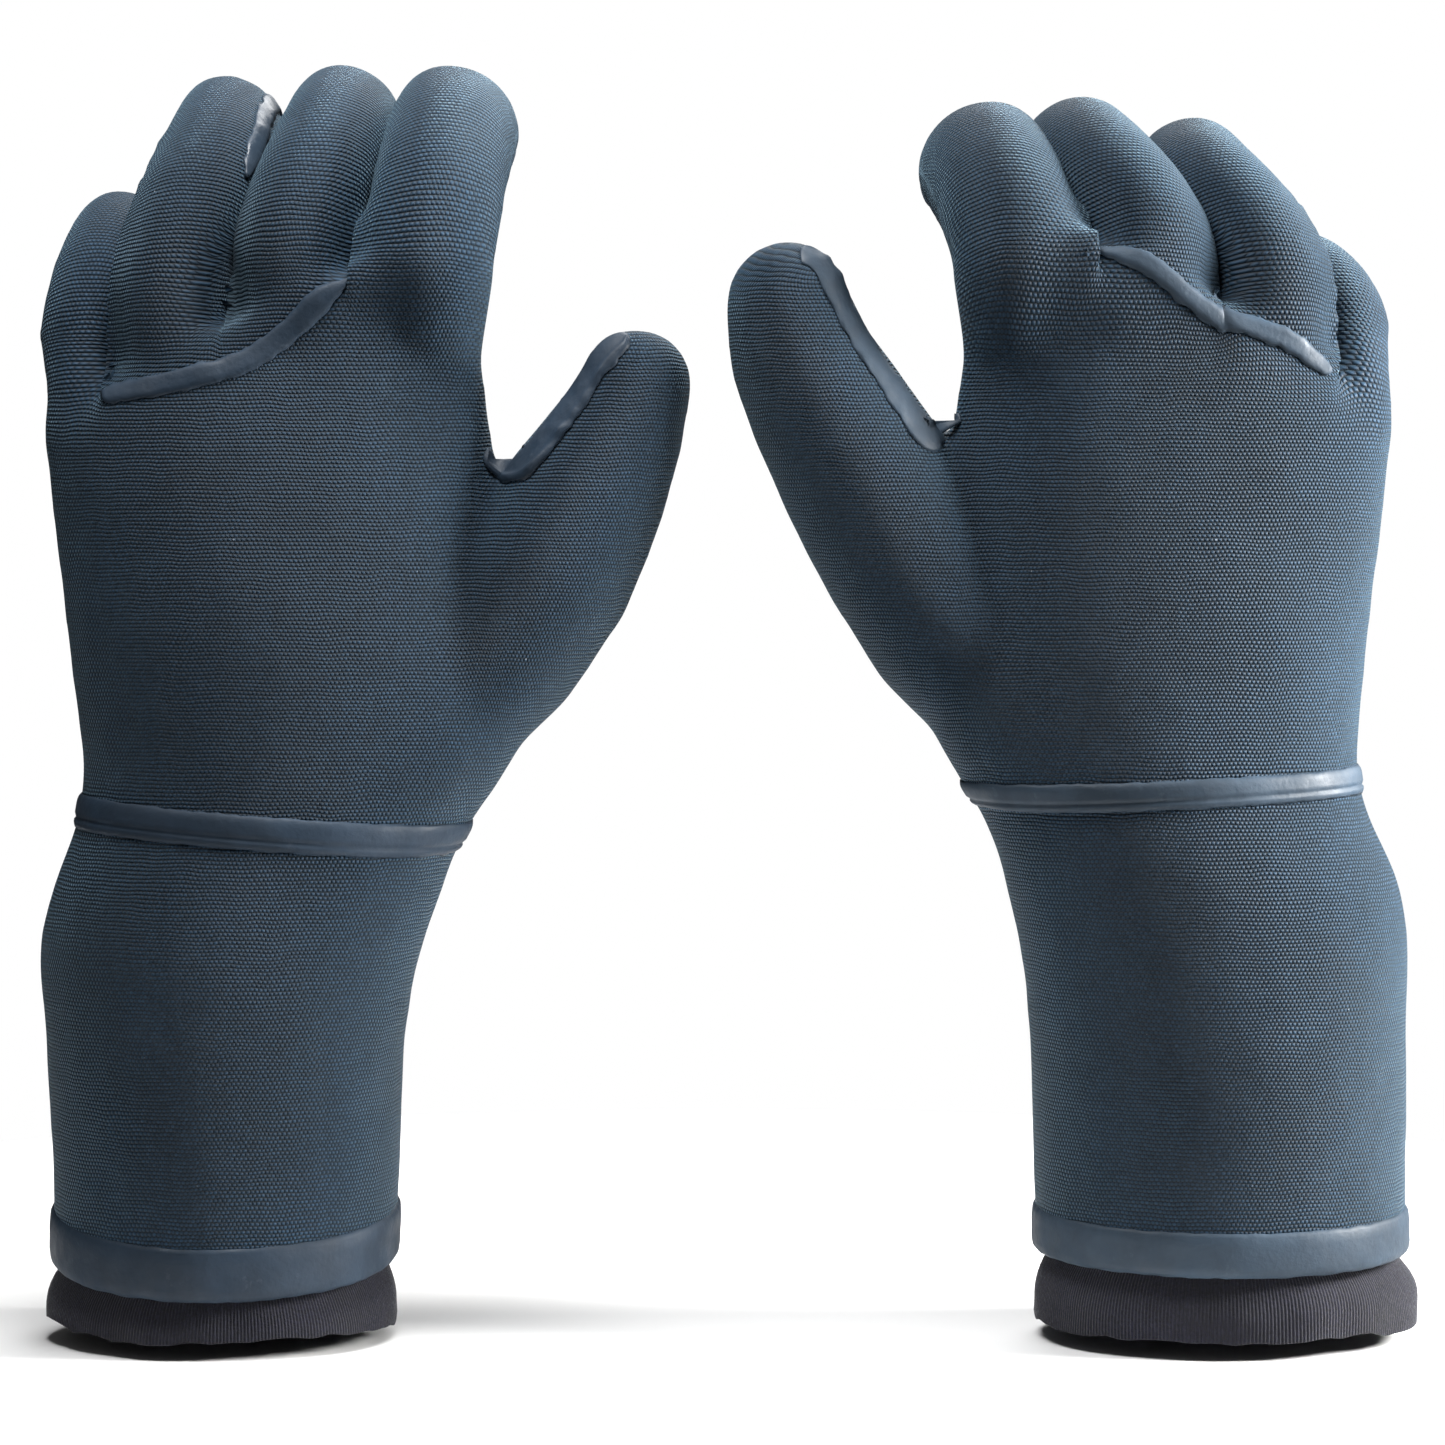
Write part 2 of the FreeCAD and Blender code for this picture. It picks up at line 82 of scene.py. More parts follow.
def smoothstep(x):
    """An even rise from 0 to 1, flat at both ends."""
    x = np.clip(x, 0, 1)
    return x * x * (3 - 2 * x)


# %% [markdown]
# ## The measures of each glove
# These are the numbers a glove maker would write on the pattern: half the width and half the depth of the
# arm, wrist and hand at a few heights, the thumb's girth along its length, and each finger's length, lean
# and natural curl. The two hands are relaxed differently, so each has its own set.
# %% Body sections: height, middle, half width, half depth
BODY = {
    "left": [
        (8, -3.4, 39.2, 34), (20, -3.4, 39.4, 34), (45, -3.0, 40.2, 34.5), (70, -3.0, 40.9, 35),
        (90, -2.3, 44.4, 34.5), (105, 2.2, 44.8, 32.5), (118, 7.8, 44.8, 30), (128, 12.4, 48.0, 29),
        (136, 15.4, 50.9, 28.6), (150, 15.0, 52.4, 28), (172, 11.2, 51.2, 26), (200, 8.3, 51.6, 21.5),
        (217, 6.0, 51.2, 17),
    ],
    "right": [
        (8, -2.5, 42.6, 34), (20, -2.5, 42.8, 34), (45, -2.3, 43.0, 34.5), (70, -1.6, 43.0, 35),
        (90, -1.0, 44.9, 34.5), (105, 1.4, 45.4, 32.5), (118, 7.0, 44.2, 30), (128, 11.8, 45.4, 29),
        (136, 15.2, 48.4, 28.6), (150, 16.2, 50.6, 28), (172, 13.0, 49.8, 26), (200, 10.6, 50.9, 21.5),
        (217, 8.3, 50.2, 17),
    ],
}
WEB_TOP = {"left": (8.0, 236.0, -0.42, 49.5, 12.5), "right": (9.5, 240.5, -0.42, 48.5, 12.5)}
RIM = {"left": (20.0, 9.0), "right": (21.5, 2.5)}  # height of the cuff's end and its tilt
WRIST_SEAM = {"left": (118.6, -0.078), "right": (127.4, -0.045)}  # height and slope of the wrist seam
CROTCH = {"left": (61.4, 200.0), "right": (63.0, 208.0)}

# %% Thumb sections: inward, height, radius, tilt in degrees
THUMB = {
    "left": [
        (42, 142, 20, 50), (58.5, 159, 21.0, 36), (70.6, 176, 21.0, 29), (80.8, 196, 18.6, 24),
        (87.2, 208.5, 15.7, 19), (91.6, 219.5, 12.8, 14),
    ],
    "right": [
        (42, 147, 20.5, 50), (58.5, 164, 21.3, 36), (70.0, 181, 21.0, 32), (80.6, 200, 20.0, 28),
        (88.8, 215, 18.4, 24), (94.8, 227.5, 16.2, 16), (97.6, 238, 14.6, 8),
    ],
}

# %% Finger pattern
# base, knuckle height, length, curl at base and tip, radius, fullness, depth, tuck, sweep, web
FINGERS = ("little", "ring", "middle", "index")
PATTERN = {
    "left": {
        "index": (43.8, 248, 53, 7, 88, 12.8, 1.23, -2.5, 0.0, 0.0, 245),
        "middle": (13.2, 248, 61, 9, 94, 11.8, 1.20, 0.0, 0.0, 4.0, 245),
        "ring": (-15.2, 240, 64, 8, 84, 11.8, 1.19, 2.0, 0.0, 4.5, 231),
        "little": (-38.8, 229, 48, 12, 92, 9.6, 1.16, 9.0, 3.4, 0.5, 222),
    },
    "right": {
        "index": (44.4, 248, 50, 24, 94, 12.8, 1.23, -2.5, 0.0, 2.2, 249),
        "middle": (14.0, 248, 57, 20, 100, 11.8, 1.22, 0.0, 0.0, 10.0, 249),
        "ring": (-13.9, 240, 59, 16, 96, 11.8, 1.20, 2.5, 0.0, 11.0, 237),
        "little": (-37.6, 231, 45, 32, 108, 9.4, 1.14, 9.0, 6.5, 8.0, 227),
    },
}
LEAN = math.radians(9.0)  # all the fingers of the flat pattern lean towards the thumb


ROOT = 24.0  # how far below its knuckle a finger's axis starts
STEP = 0.5


class Finger:
    """One finger: its straight pattern axis, and the curl that it is moulded to."""

    def __init__(self, side, name):
        self.name = name
        row = PATTERN[side][name]
        base, height, self.length, curl0, curl1, self.radius, self.full, self.deep = row[:8]
        self.tuck, self.sweep, self.web = row[8:]
        self.base = np.array([base, 0.0, height])
        self.along = np.array([math.sin(LEAN), 0.0, math.cos(LEAN)])
        self.across = np.array([math.cos(LEAN), 0.0, -math.sin(LEAN)])
        self.steps = np.arange(-ROOT, self.length + 40.0, STEP)
        self.settle = smoothstep((self.steps + ROOT) / ROOT)
        curl = np.radians(curl1 - curl0) * np.clip(self.steps / self.length, 0, 1.12)
        self.pitch = np.radians(curl0) * self.settle + curl
        up = np.concatenate([[0], np.cumsum(np.cos(self.pitch[:-1])) * STEP]) - ROOT
        back = np.concatenate([[0], np.cumsum(np.sin(self.pitch[:-1])) * STEP])
        start = int(ROOT / STEP)
        self.up = up - up[start] * self.settle
        self.back = back + (self.deep - back[start]) * self.settle

    def local(self, points):
        """Distance along the axis, and across it, of pattern points."""
        rel = points - self.base
        return rel @ self.along, rel @ self.across

    def curled(self, points):
        """Where pattern points go when the finger curls, fills out and sweeps towards the thumb."""
        s, q = self.local(points)
        inside = np.clip(s, self.steps[0], self.steps[-1])
        pitch = np.interp(inside, self.steps, self.pitch)
        up = np.interp(inside, self.steps, self.up) + (s - inside)
        back = np.interp(inside, self.steps, self.back)
        full = 1 + (self.full - 1) * smoothstep((s + 22) / 22)
        shift = self.tuck * np.interp(inside, self.steps, self.settle)
        shift += self.sweep * smoothstep(s / 42) + self.along[0] * (50 * np.tanh(np.clip(s, 0, None) / 50))
        y = points[:, 1] * full
        rise = up - y * np.sin(pitch)
        out = np.empty_like(points)
        out[:, 0] = self.base[0] + self.along[0] * np.minimum(s, 0) + self.across[0] * q * full + shift
        out[:, 1] = back + y * np.cos(pitch)
        out[:, 2] = self.base[2] + self.along[2] * rise + self.across[2] * q * full
        return out


print("finger lengths:", {n: PATTERN["left"][n][2] for n in FINGERS})

# %% [markdown]
# ## Rings and tubes
# Almost everything on a glove is a tube, so one helper places an oval ring of points anywhere, and another
# bridges a row of rings into a closed tube. Lathe-like tools can't do this, because the ovals change shape
# and drift sideways along the arm.
# %% Ring and tube helpers
AROUND = 64


def ring(bm, centre, across, deep, segments=AROUND):
    """An oval of edges, given by its middle and its two half axes."""
    m = Matrix.Identity(4)
    m.col[0][:3] = across
    m.col[1][:3] = deep
    m.col[2][:3] = Vector(across).cross(Vector(deep)).normalized()
    m.translation = centre
    made = bmesh.ops.create_circle(bm, cap_ends=False, radius=1.0, segments=segments, matrix=m)
    return list({e for v in made["verts"] for e in v.link_edges})


def tube(bm, rings, segments=AROUND, capped=True):
    """Bridges rings of (centre, across, deep) into a tube, closed at both ends when capped."""
    loops = [ring(bm, *r, segments) for r in rings]
    for low, high in zip(loops, loops[1:]):
        bmesh.ops.bridge_loops(bm, edges=low + high)
    for end in (loops[0], loops[-1]) if capped else ():
        bmesh.ops.edgeloop_fill(bm, edges=end)


def dome(centre, axis, across, radius, deep):
    """Shrinking rings that round off the tip of a finger."""
    out = []
    for degrees in (18, 36, 52, 66, 78, 86):
        a = math.radians(degrees)
        middle = np.array(centre) + np.array(axis) * radius * math.sin(a)
        out.append((middle, np.array(across) * radius * math.cos(a), (0, deep * math.cos(a), 0)))
    return out


def spline(stations, step=3.0):
    """Smooth values between stations whose first number is the height."""
    table = np.array(stations, float)
    heights = np.arange(table[0, 0], table[-1, 0] + 0.01, step)
    dense = np.column_stack([np.interp(heights, table[:, 0], table[:, k]) for k in range(1, table.shape[1])])
    for _ in range(6):
        dense[1:-1] = (dense[:-2] + 2 * dense[1:-1] + dense[2:]) / 4
    return heights, dense


# %% [markdown]
# ## The rough glove
# A real glove's shape comes from the hand in it. The tubes for arm, hand, fingers and thumb are pushed
# through each other here and fused by a voxel remesh, which also leaves an even grid of faces that a smooth
# pass can round into webs between the fingers. The fingers stay a little thin and apart, so that they don't
# fuse; they fill out when they curl.
# %% Build, fuse and smooth
def rough_glove(side):
    """The straight, open pattern glove as one rounded skin."""
    bm = bmesh.new()
    heights, dense = spline(BODY[side])
    rings = [((c, 0, h), (w, 0, 0), (0, d, 0)) for h, (c, w, d) in zip(heights, dense)]
    middle, top, slope, width, deep = WEB_TOP[side]
    tilt = Vector((1, 0, -slope)).normalized()
    rings.append(((middle, 0, top), tilt * width, (0, deep, 0)))
    tube(bm, rings)
    for name in FINGERS:
        f = Finger(side, name)
        rings = []
        for s in np.linspace(-30 if name == "little" else -22, f.length, 24):
            swell = 1 + 0.02 * math.sin(math.pi * np.clip(s / f.length, 0, 1)) - 0.11 * max(0, s) / f.length
            r = f.radius * swell
            centre = f.base + f.along * s - (f.along[0] * min(s, 0), 0, 0)
            if name == "little":
                centre[0] += 6.5 * (1 - smoothstep((s + 30) / 32))  # its root is buried in the hand
            rings.append((centre, f.across * r, (0, r, 0)))
        r = f.radius * 0.89
        rings += dome(f.base + f.along * f.length, f.along, f.across, r, r)
        tube(bm, rings)
    fingers = [Finger(side, name) for name in FINGERS]
    for low, high in zip(fingers, fingers[1:]):
        height = min(low.web, high.web) + 3.5
        part = low.radius / (low.radius + high.radius)
        axes = [f.base[0] + (height - f.base[2]) * math.tan(LEAN) for f in (low, high)]
        m = Matrix.Translation((axes[0] + (axes[1] - axes[0]) * part, 0.5, height))
        m = m @ Matrix.Diagonal((5.0, 4.2, 8.5, 1.0))
        bmesh.ops.create_uvsphere(bm, u_segments=24, v_segments=16, radius=1.0, matrix=m)
    rings = []
    for i, h, r, tilt in THUMB[side]:
        a = math.radians(tilt)
        across = np.array([math.cos(a), 0, -math.sin(a)])
        rings.append(((i, 0, h), across * r, (0, r * 0.92, 0)))
    i, h, r, tilt = THUMB[side][-1]
    a = math.radians(tilt)
    axis, across = (math.sin(a), 0, math.cos(a)), (math.cos(a), 0, -math.sin(a))
    tube(bm, rings + dome((i, 0, h), axis, across, r, r * 0.92))
    return fuse(bm, f"{side}_rough")


def fuse(bm, name):
    """Joins overlapping tubes into one skin and rounds it."""
    bmesh.ops.recalc_face_normals(bm, faces=bm.faces)
    mesh = bpy.data.meshes.new(name)
    bm.to_mesh(mesh)
    bm.free()
    obj = bpy.data.objects.new(name, mesh)
    bpy.context.scene.collection.objects.link(obj)
    remesh = obj.modifiers.new("fuse", "REMESH")
    remesh.mode = "VOXEL"
    remesh.voxel_size = VOXEL
    graph = bpy.context.evaluated_depsgraph_get()
    fused = bmesh.new()
    fused.from_object(obj, graph)
    bpy.data.objects.remove(obj)
    for _ in range(14):
        bmesh.ops.smooth_vert(
            fused, verts=fused.verts, factor=0.5, use_axis_x=True, use_axis_y=True, use_axis_z=True
        )
    return fused


def open_cuff(bm, side):
    """Cuts the closed foot off at the cuff's tilted end."""
    height, tilt = RIM[side]
    a = math.radians(tilt)
    bmesh.ops.bisect_plane(
        bm, geom=bm.verts[:] + bm.edges[:] + bm.faces[:], dist=0.01,
        plane_co=(0, 0, height), plane_no=(0, -math.sin(a), math.cos(a)), clear_inner=True,
    )


def ripple(bm):
    """The slight unevenness of glued foam sheet."""
    bm.normal_update()
    for v in bm.verts:
        slow = noise.noise(v.co / 26.0) * 0.55
        quick = noise.noise(v.co / 9.0) * 0.14
        v.co += v.normal * (slow + quick)


# %% [markdown]
# ## Curling the glove
# The pattern is bent into its moulded shape by a function of position only. Any tape laid on the flat
# pattern can then be bent by the same function, and stays stuck to the cloth.
# %% Bend a set of pattern points
def finger_shares(points, fingers):
    """How much each finger carries each point: all of it above the webs, and shared smoothly below."""
    i, h = points[:, 0], points[:, 2]
    steps = []
    for low, high in zip(fingers, fingers[1:]):
        axis = [f.base[0] + (h - f.base[2]) * math.tan(LEAN) for f in (low, high)]
        part = low.radius / (low.radius + high.radius)
        middle = axis[0] + (axis[1] - axis[0]) * part
        web = min(low.web, high.web)
        gap = (high.base[0] - low.base[0]) * math.cos(LEAN) - low.radius - high.radius
        half = np.clip(8 - (h - (web - 16)) * 0.55, max(0.45 * gap, 0.9), 8)
        steps.append(smoothstep(0.5 + (i - middle) / (2 * half)))
    shares, left = [], np.ones(len(points))
    for step in steps:
        shares.append(left * (1 - step))
        left = left * step
    return shares + [left]


def on_thumb_side(points, side):
    """True beyond the line between the index finger and the thumb."""
    i, h = points[:, 0], points[:, 2]
    ci, ch = CROTCH[side]
    return i > ci + 0.5 + np.clip(h - ch, 0, None) * 0.2


def curl(points, side):
    """Pattern points in their moulded places. The thumb keeps its shape from the pattern."""
    points = np.asarray(points, float)
    fingers = [Finger(side, n) for n in FINGERS]
    moved = np.zeros_like(points)
    for f, share in zip(fingers, finger_shares(points, fingers)):
        moved += (f.curled(points) - points) * share[:, None]
    moved[on_thumb_side(points, side) & (points[:, 2] > CROTCH[side][1] - 4)] = 0
    return points + moved


# %% [markdown]
# ## Where the weave lies
# The knitted face has rows about a millimetre apart that run straight across the flat pattern. Each point
# gets its place on the flat sheet as an attribute, in millimetres: round the arm and hand it is the arc
# length from the middle of the back or palm panel, and round a finger the same about its own axis.
# %% Unroll the pattern
def arc(t, a, b):
    """Length of an oval's edge from the end of its short axis to angle t."""
    total = np.zeros_like(t)
    parts = 24
    for k in range(parts):
        u = t * (k + 0.5) / parts
        total += np.sqrt((a * np.cos(u)) ** 2 + (b * np.sin(u)) ** 2) * t / parts
    return total


def unroll(points, side):
    """Each point's place on the flat sheet, across and up, with its depth kept as a third number."""
    i, y, h = points.T
    heights, dense = spline(BODY[side])
    c, w, d = (np.interp(h, heights, dense[:, k]) for k in range(3))
    x = (i - c) / w
    round_arm = np.sign(x) * arc(np.arctan2(np.abs(x), np.maximum(np.abs(y) / d, 1e-6)), w, d)
    flat_most = np.clip(x, 0, 0.92)
    over_thumb = arc(np.arcsin(flat_most), w, d) + (x - flat_most) * w * 1.15
    table = np.array(THUMB[side], float)
    q = i - np.interp(h, table[:, 1], table[:, 0])
    radius = np.interp(h, table[:, 1], table[:, 2])
    turn = np.arctan2(np.abs(q), np.maximum(np.abs(y), 1e-6))
    over_thumb += np.where(q > 0, turn * np.maximum(np.hypot(q, y), 0.7 * radius) - q, 0)
    mix = smoothstep((h - 130) / 16) * smoothstep((x - 0.15) / 0.3)
    flat = np.column_stack([c + round_arm + (over_thumb - round_arm) * mix, h])
    fingers = [Finger(side, n) for n in FINGERS]
    for f, share in zip(fingers, finger_shares(points, fingers)):
        s, q = f.local(points)
        turn = np.arctan2(np.abs(q), np.maximum(np.abs(y), 1e-6))
        lie = np.sign(q) * turn * np.maximum(np.hypot(q, y), 0.7 * f.radius) * f.full
        there = (f.base + f.along * s[:, None] + f.across * lie[:, None])[:, [0, 2]]
        begin = -14 if f.name == "little" else 0
        mix = share * smoothstep((s - begin) / 24)
        flat += (there - flat) * mix[:, None]
    return np.column_stack([flat, y])


# %% [markdown]
# ## Panels
# The glove is glued from panels: a back and a palm, a back and a palm side for each finger and the thumb,
# and a long cuff. Each face of the skin is given to a panel here. A finger's panels start just below its
# webs, where the hinge doesn't move the cloth yet, so nothing tears when it bends.
# %% Which panel each point belongs to
THUMB_TURN = math.radians(62)


def thumb_reach(points, side):
    """Distance beyond the line through the thumb's crotch where the thumb's bending starts."""
    ci, ch = CROTCH[side]
    return (points[:, 0] - ci) * math.sin(THUMB_TURN) + (points[:, 2] - ch) * math.cos(THUMB_TURN)


def panels(points, side):
    """The name of the part of the glove for each pattern point."""
    i, y, h = points.T
    seam, slope = WRIST_SEAM[side]
    part = np.where(h < seam + slope * (i - 10), "cuff", "hand").astype("U12")
    fingers = [Finger(side, n) for n in FINGERS]
    shares = np.array(finger_shares(points, fingers))
    nearest = shares.argmax(0)
    thumb_side = on_thumb_side(points, side)
    for k, f in enumerate(fingers):
        s, _ = f.local(points)
        start = base_seam_height(side, i) if f.name in ("middle", "ring") else f.web - 9
        part[(nearest == k) & (h > start) & (s > -22) & ~thumb_side] = f.name
    crotch = CROTCH[side][1]
    part[(thumb_reach(points, side) > 0) & (thumb_side | (h < crotch)) & (h > 140)] = "thumb"
    return part


BASE_SEAM = {  # the seam under the middle and ring fingers: inward, height
    "left": [
        (-31.5, 220.6), (-22, 219.4), (-12.7, 220.2), (-3.4, 222.0), (6, 225.8), (15.4, 232.8), (24.8, 243.6),
    ],
    "right": [
        (-28.5, 225.4), (-19.2, 227.2), (-10.5, 230.0), (-1.8, 233.2), (7, 237.4), (16.6, 243.2),
        (26.5, 248.6),
    ],
}


def base_seam_height(side, i):
    """Height of the seam under the fingers at a distance inward."""
    line = np.array(BASE_SEAM[side])
    return np.interp(i, line[:, 0], line[:, 1])


# %% [markdown]
# ## Finishing a piece
# Every panel is given its real thickness by a solidify step that grows inwards, so the outside stays where
# it is. Only the cut edge of a panel is marked sharp, so its face stays smooth right up to the edge, and two
# panels that meet look like one cloth, as they do where the maker butts and glues them.
# %% Piece helpers
def new_object(name, bm, material, smooth=True):
    mesh = bpy.data.meshes.new(name)
    bm.to_mesh(mesh)
    bm.free()
    mesh.polygons.foreach_set("use_smooth", [smooth] * len(mesh.polygons))
    mesh.materials.append(material)
    obj = bpy.data.objects.new(name, mesh)
    bpy.context.scene.collection.objects.link(obj)
    return obj


def place(bm, coords, side):
    """Moves a mesh's points, given in glove millimetres, to their places in metres."""
    for v, co in zip(bm.verts, to_world(coords, side)):
        v.co = co
    if SIGN[side] < 0:
        bmesh.ops.reverse_faces(bm, faces=bm.faces)
    bm.normal_update()


def coordinates(bm):
    """A mesh's points as rows of numbers."""
    return np.array([v.co[:] for v in bm.verts])


def thicken(bm, depth, away=None):
    """Grows a wall inwards, against the given directions or else the outside's own. The outside stays."""
    bm.normal_update()
    number = bm.verts.layers.int.new("number")
    for k, v in enumerate(bm.verts):
        v[number] = k
    outside = coordinates(bm)
    if away is None:
        away = np.array([v.normal[:] for v in bm.verts])
    before = set(bm.verts)  # a new vertex may take a deleted one's place in the order, so order can't tell
    bmesh.ops.solidify(bm, geom=bm.faces[:], thickness=depth * MM * 0.01)
    for v in bm.verts:
        if v not in before:
            v.co = outside[v[number]] - away[v[number]] * depth * MM
    bm.normal_update()


def crisp_edges(obj):
    """Smooth faces everywhere except round a panel's cut edge, which stays sharp."""
    obj.data.set_sharp_from_angle(angle=math.radians(50))


# %% [markdown]
# ## Cloth and rubber
# The neoprene's face is a tiny dotted knit: rows of raised loops with dark gaps, staggered from row to row.
# A brick texture makes joints that are too hard and even, so the loops are the product of two sine ridges,
# one across the rows and one along them, and every loop gets its own shade of thread. The seams are satin
# liquid rubber, and the liner is a dark ribbed knit.
# %% Material helpers
def material(name, base, roughness, specular=0.5, sheen=0.0, sheen_roughness=0.5, coat=0.0):
    mat = bpy.data.materials.new(name)
    mat.use_nodes = True
    shader = mat.node_tree.nodes["Principled BSDF"]
    shader.inputs["Base Color"].default_value = (*base, 1)
    shader.inputs["Roughness"].default_value = roughness
    shader.inputs["Specular IOR Level"].default_value = specular
    shader.inputs["Sheen Weight"].default_value = sheen
    shader.inputs["Sheen Roughness"].default_value = sheen_roughness
    shader.inputs["Coat Weight"].default_value = coat
    return mat, shader


def node(mat, kind, **inputs):
    """A node with its inputs set. A value that is a socket is linked. In a name, _ stands for a space."""
    made = mat.node_tree.nodes.new(kind)
    for key, value in inputs.items():
        name = key.replace("_", " ")
        socket = made.inputs[int(name[1:])] if name[0] == "i" and name[1:].isdigit() else made.inputs[name]
        if isinstance(value, bpy.types.NodeSocket):
            mat.node_tree.links.new(value, socket)
        else:
            socket.default_value = value
    return made


def math_node(mat, operation, a, b=0.0, clamp=False):
    made = node(mat, "ShaderNodeMath", i0=a, i1=b)
    made.operation = operation
    made.use_clamp = clamp
    return made.outputs[0]


def mixed(mat, fac, a, b, mode="MIX"):
    made = mat.node_tree.nodes.new("ShaderNodeMix")
    made.data_type = "RGBA"
    made.blend_type = mode
    for socket, value in zip((made.inputs[0], made.inputs[6], made.inputs[7]), (fac, a, b)):
        if isinstance(value, bpy.types.NodeSocket):
            mat.node_tree.links.new(value, socket)
        else:
            socket.default_value = value
    return made.outputs[2]


def noise_value(mat, vector, scale, detail=2.0, roughness=0.5):
    made = node(mat, "ShaderNodeTexNoise", Vector=vector, Scale=scale, Detail=detail, Roughness=roughness)
    return made.outputs[0]


def remap(mat, value, low, high, to_low=0.0, to_high=1.0):
    made = node(mat, "ShaderNodeMapRange", i0=value, i1=low, i2=high, i3=to_low, i4=to_high)
    return made.outputs[0]


def bumped(mat, shader, height, distance, strength=1.0):
    bump = node(mat, "ShaderNodeBump", Strength=strength, Distance=distance, Height=height)
    mat.node_tree.links.new(bump.outputs[0], shader.inputs["Normal"])


def tint(colour, k):
    return (*[c * k for c in colour], 1)


# %% Knit-faced neoprene
NAVY = (0.0066, 0.0168, 0.0310)
ROW = 0.88  # millimetres from row to row
STITCH = 1.0  # and from stitch to stitch along a row
JOINED = 0.28  # how high a row still stands between two stitches


def neoprene(name, colour, seed):
    """The dotted knit face, laid out by each piece's own "weave" attribute in millimetres."""
    mat, shader = material(name, colour, 0.62, specular=0.16, sheen=0.22, sheen_roughness=0.42)
    shader.inputs["Sheen Tint"].default_value = (0.52, 0.80, 1.0, 1)
    links = mat.node_tree.links
    flat = node(mat, "ShaderNodeAttribute")
    flat.attribute_name = "weave"
    place_mm = flat.outputs["Vector"]
    wobble = node(mat, "ShaderNodeTexNoise", Vector=place_mm, Scale=0.10, Detail=1.0)
    centred = node(mat, "ShaderNodeVectorMath", i0=wobble.outputs["Color"], i1=(0.5, 0.5, 0.5))
    centred.operation = "SUBTRACT"
    small = node(mat, "ShaderNodeVectorMath", i0=centred.outputs[0], i1=(1.6, 1.2, 0.0))
    small.operation = "MULTIPLY"
    moved = node(mat, "ShaderNodeVectorMath", i0=place_mm, i1=small.outputs[0])
    axes = node(mat, "ShaderNodeSeparateXYZ", Vector=moved.outputs[0])
    row = math_node(mat, "DIVIDE", axes.outputs["Y"], ROW)
    stagger = math_node(mat, "MULTIPLY", math_node(mat, "FLOOR", row), 0.5)
    stitch = math_node(mat, "ADD", math_node(mat, "DIVIDE", axes.outputs["X"], STITCH), stagger)
    crown, pinch = (
        math_node(mat, "ABSOLUTE", math_node(mat, "SINE", math_node(mat, "MULTIPLY", turns, math.pi)))
        for turns in (row, stitch)
    )
    along = math_node(mat, "ADD", math_node(mat, "MULTIPLY", pinch, 1 - JOINED), JOINED)
    loops = math_node(mat, "MULTIPLY", crown, along)
    fuzz = noise_value(mat, place_mm, 1.3, 2.0, 0.5)
    height = math_node(mat, "ADD", loops, math_node(mat, "MULTIPLY", fuzz, 0.25))
    bumped(mat, shader, height, 0.00042, 0.9)
    broad = noise_value(mat, place_mm, 0.022 + seed * 0.001, 3.0, 0.55)
    blotch = remap(mat, broad, 0.3, 0.7, 0.80, 1.22)
    whole = [math_node(mat, "FLOOR", turns) for turns in (stitch, row)]
    loop_number = node(mat, "ShaderNodeCombineXYZ", X=whole[0], Y=whole[1]).outputs[0]
    strand = node(mat, "ShaderNodeTexWhiteNoise", Vector=loop_number)
    thread = mixed(mat, strand.outputs["Value"], tint(colour, 1.45), tint(colour, 2.35))
    cloth = mixed(mat, remap(mat, loops, 0.08, 0.90), tint(colour, 0.22), thread)
    grey = node(mat, "ShaderNodeCombineColor", i0=blotch, i1=blotch, i2=blotch)
    cloth = mixed(mat, 1.0, cloth, grey.outputs[0], "MULTIPLY")
    worn = noise_value(mat, place_mm, 0.05, 6.0, 0.7)
    salt = remap(mat, worn, 0.60, 0.80, 0.0, 0.14)
    cloth = mixed(mat, salt, cloth, (0.08, 0.125, 0.175, 1))
    specks = node(mat, "ShaderNodeTexVoronoi", Vector=place_mm, Scale=0.085, Randomness=1.0)
    lint = remap(mat, specks.outputs["Distance"], 0.014, 0.022, 0.55, 0.0)
    cloth = mixed(mat, lint, cloth, (0.30, 0.33, 0.37, 1))
    links.new(cloth, shader.inputs["Base Color"])
    return mat


# %% Rubber seam tape, glue and liner knit
def rubber(name, colour, roughness, patch):
    """Brushed-on liquid rubber: cloudy and lumpy, with a few chalky patches."""
    mat, shader = material(name, colour, roughness, specular=0.30)
    where = node(mat, "ShaderNodeTexCoord").outputs["Object"]
    fine = noise_value(mat, where, 900.0, 4.0, 0.6)
    lumps = noise_value(mat, where, 160.0, 3.0, 0.5)
    height = math_node(mat, "ADD", math_node(mat, "MULTIPLY", fine, 0.3), lumps)
    bumped(mat, shader, height, 0.0005, 0.6)
    cloudy = remap(mat, noise_value(mat, where, 55.0, 4.0, 0.6), 0.35, 0.72)
    tone = mixed(mat, cloudy, tint(colour, 0.8), tint(colour, 1.35))
    chalk = remap(mat, noise_value(mat, where, 210.0, 5.0, 0.7), 0.62, 0.78, 0.0, patch)
    tone = mixed(mat, chalk, tone, (0.22, 0.25, 0.29, 1))
    mat.node_tree.links.new(tone, shader.inputs["Base Color"])
    gloss = remap(mat, lumps, 0.3, 0.7, roughness - 0.1, roughness + 0.12)
    mat.node_tree.links.new(gloss, shader.inputs["Roughness"])
    return mat


